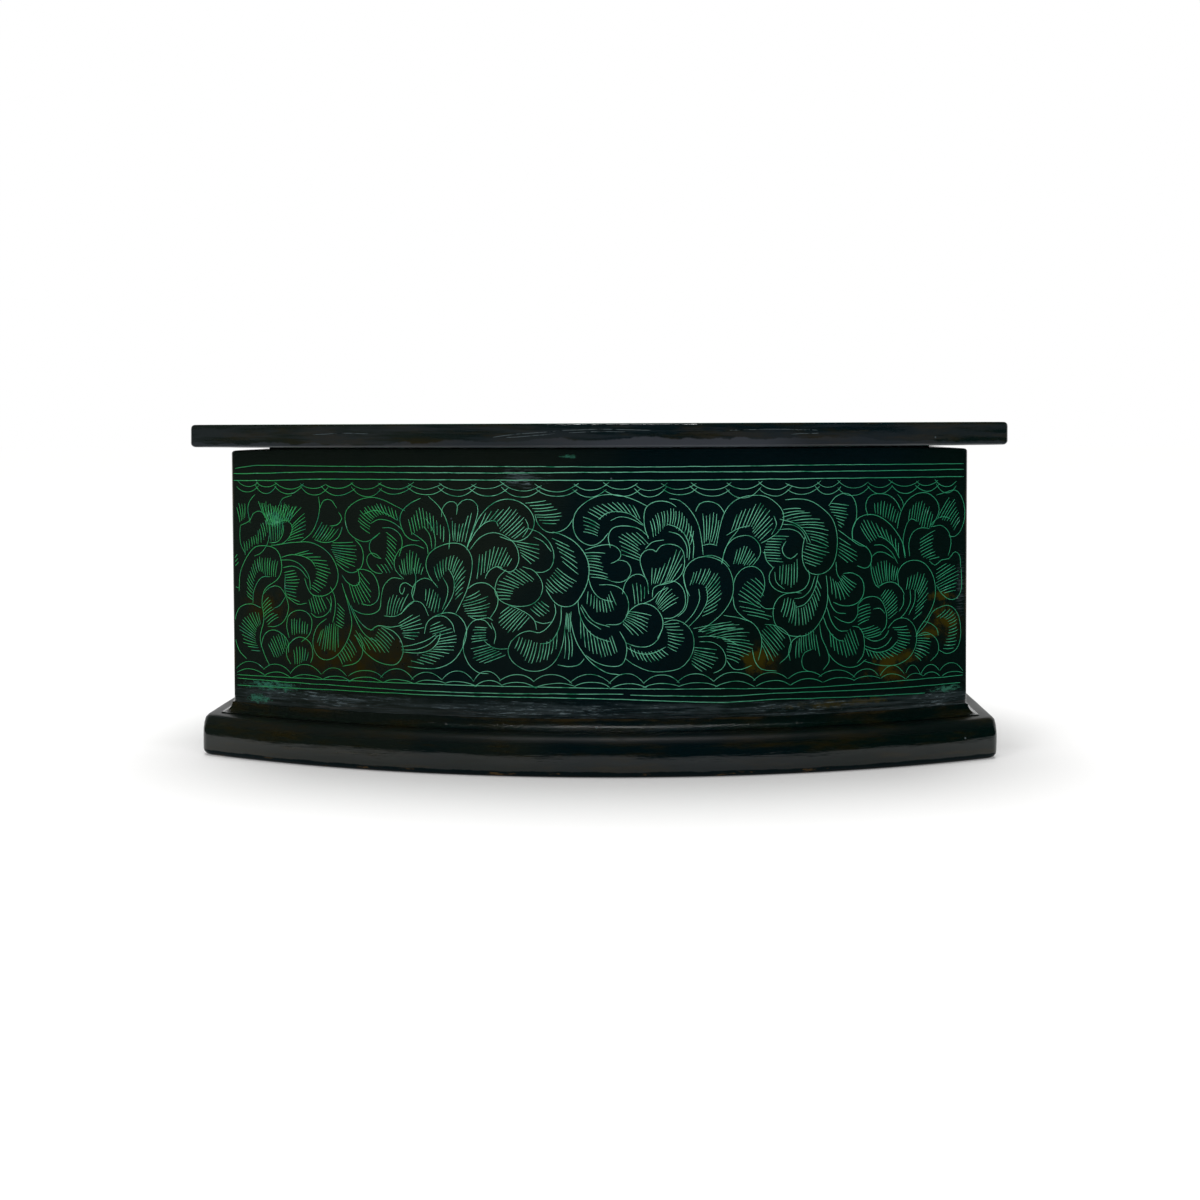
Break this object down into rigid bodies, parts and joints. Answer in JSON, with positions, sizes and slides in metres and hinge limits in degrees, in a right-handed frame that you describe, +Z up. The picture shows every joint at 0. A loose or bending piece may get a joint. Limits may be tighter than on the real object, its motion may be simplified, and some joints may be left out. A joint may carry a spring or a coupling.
{
  "type": "lacquer box",
  "caption": "Low bow-fronted lacquered wooden box on a wider base board, with a flat overhanging lid that lifts off and is kept in place by battens inside the walls.",
  "frame": {"origin": "underside of the base board, below the middle of the lid's outline", "axes": "+X along the width, -Y out of the bowed front, +Z up, the way the lid lifts"},
  "size_m": [0.25, 0.134, 0.102],
  "materials": {
    "black_lacquer": "high gloss, hand brushed",
    "inner_lacquer": "satin",
    "lacquer_putty": "high gloss",
    "green_pigment": "rubbed into incised lines and polished flush",
    "bare_wood": "bare"
  },
  "bodies": {
    "box": {"base_board": "black_lacquer", "front_wall": "black_lacquer", "back_wall": "black_lacquer", "left_wall": "black_lacquer", "right_wall": "black_lacquer", "foot_cove": "lacquer_putty", "base_dowels": "bare_wood", "corner_pins": "bare_wood"},
    "lid": {"lid_board": "black_lacquer", "lid_front_batten": "inner_lacquer", "lid_back_batten": "inner_lacquer", "lid_left_batten": "inner_lacquer", "lid_right_batten": "inner_lacquer", "batten_pins": "bare_wood"}
  },
  "joints": [
    {"name": "lid_lift", "type": "slide", "parent": "box", "child": "lid", "axis": [0, 0, 1], "range_m": [0, 0.1]}
  ]
}
